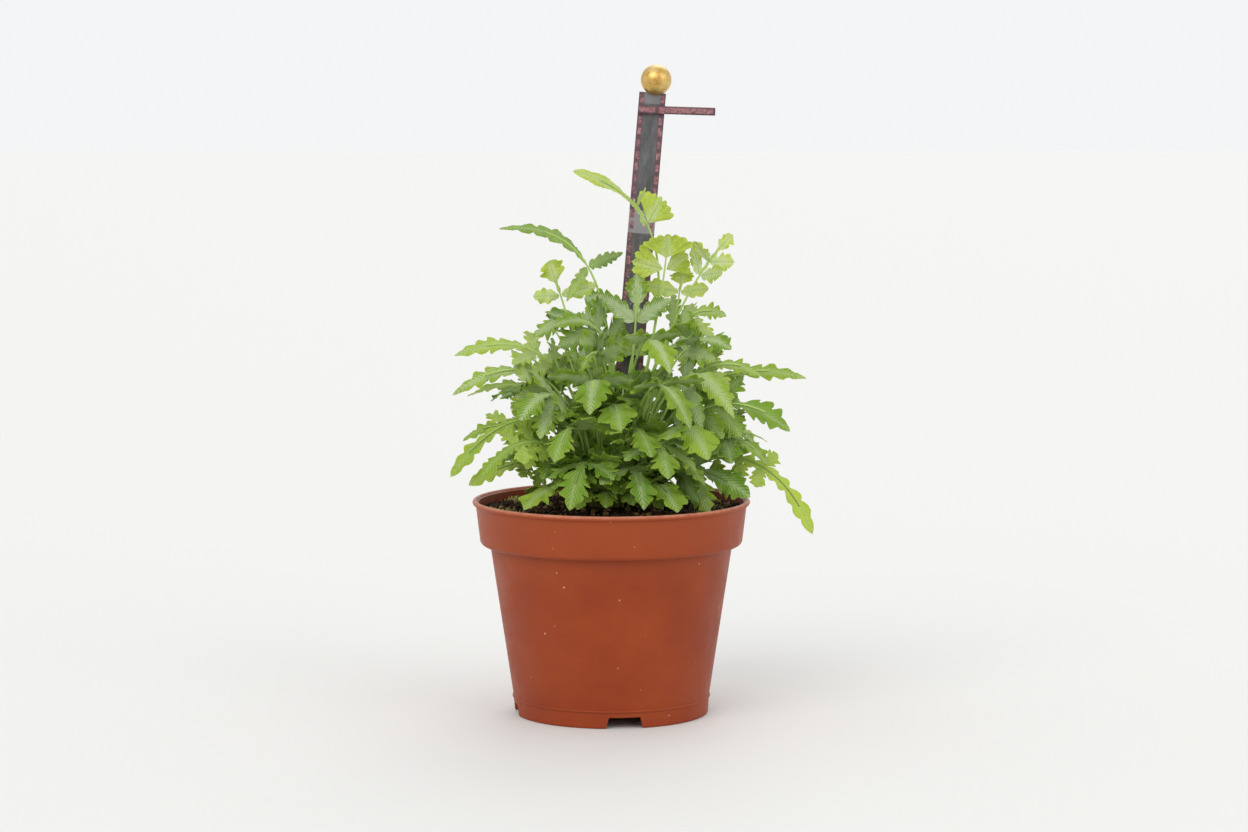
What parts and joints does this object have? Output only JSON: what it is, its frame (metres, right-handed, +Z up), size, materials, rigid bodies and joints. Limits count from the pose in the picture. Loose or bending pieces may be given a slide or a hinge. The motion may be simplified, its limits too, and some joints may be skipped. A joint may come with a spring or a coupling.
{
  "type": "potted fern",
  "caption": "Young table fern growing from a clump in peat, in a round nursery pot with a collar, with a flat marker strip carrying a side arm and a brass ball.",
  "frame": {"origin": "middle of the underside of the whole plant's box, on the surface that the pot stands on", "axes": "+Z up, -Y towards the front, where the marker's arm points to the right along +X"},
  "size_m": [0.1568, 0.1202, 0.2798],
  "materials": {
    "crown_bark": "dark scaly rootstock",
    "fern_leaf": "fresh green, lighter on young fronds, pale along the midribs",
    "marker_trim": "dusty rose with dark edges",
    "ball_brass": "brushed antique brass, mottled",
    "marker_board": "charcoal with plum edges and rose dashes down both sides, scuffed",
    "pot_plastic": "moulded terracotta-brown polypropylene, satin, pale dusty lip",
    "peat": "moist dark peat with crumbs, fibres and a little moss"
  },
  "bodies": {
    "root": {"fern_crown": "crown_bark", "frond_01": "fern_leaf", "frond_02": "fern_leaf", "frond_03": "fern_leaf", "frond_04": "fern_leaf", "frond_05": "fern_leaf", "frond_06": "fern_leaf", "frond_07": "fern_leaf", "frond_08": "fern_leaf", "frond_09": "fern_leaf", "frond_10": "fern_leaf", "frond_11": "fern_leaf", "frond_12": "fern_leaf", "frond_13": "fern_leaf", "frond_14": "fern_leaf", "frond_15": "fern_leaf", "frond_16": "fern_leaf", "frond_17": "fern_leaf", "frond_18": "fern_leaf", "frond_19": "fern_leaf", "frond_20": "fern_leaf", "frond_21": "fern_leaf", "frond_22": "fern_leaf", "frond_23": "fern_leaf", "frond_24": "fern_leaf", "frond_25": "fern_leaf", "frond_26": "fern_leaf", "frond_27": "fern_leaf", "frond_28": "fern_leaf", "frond_29": "fern_leaf", "frond_30": "fern_leaf", "frond_31": "fern_leaf", "frond_32": "fern_leaf", "frond_33": "fern_leaf", "frond_34": "fern_leaf", "frond_35": "fern_leaf", "frond_36": "fern_leaf", "frond_37": "fern_leaf", "frond_38": "fern_leaf", "frond_39": "fern_leaf", "frond_40": "fern_leaf", "frond_41": "fern_leaf", "frond_42": "fern_leaf", "frond_43": "fern_leaf", "frond_44": "fern_leaf", "frond_45": "fern_leaf", "frond_46": "fern_leaf", "frond_47": "fern_leaf", "frond_48": "fern_leaf", "frond_49": "fern_leaf", "frond_50": "fern_leaf", "frond_51": "fern_leaf", "frond_52": "fern_leaf", "frond_53": "fern_leaf", "frond_54": "fern_leaf", "marker_arm": "marker_trim", "marker_ball": "ball_brass", "marker_stake": "marker_board", "pot": "pot_plastic", "potting_soil": "peat"}
  },
  "joints": []
}
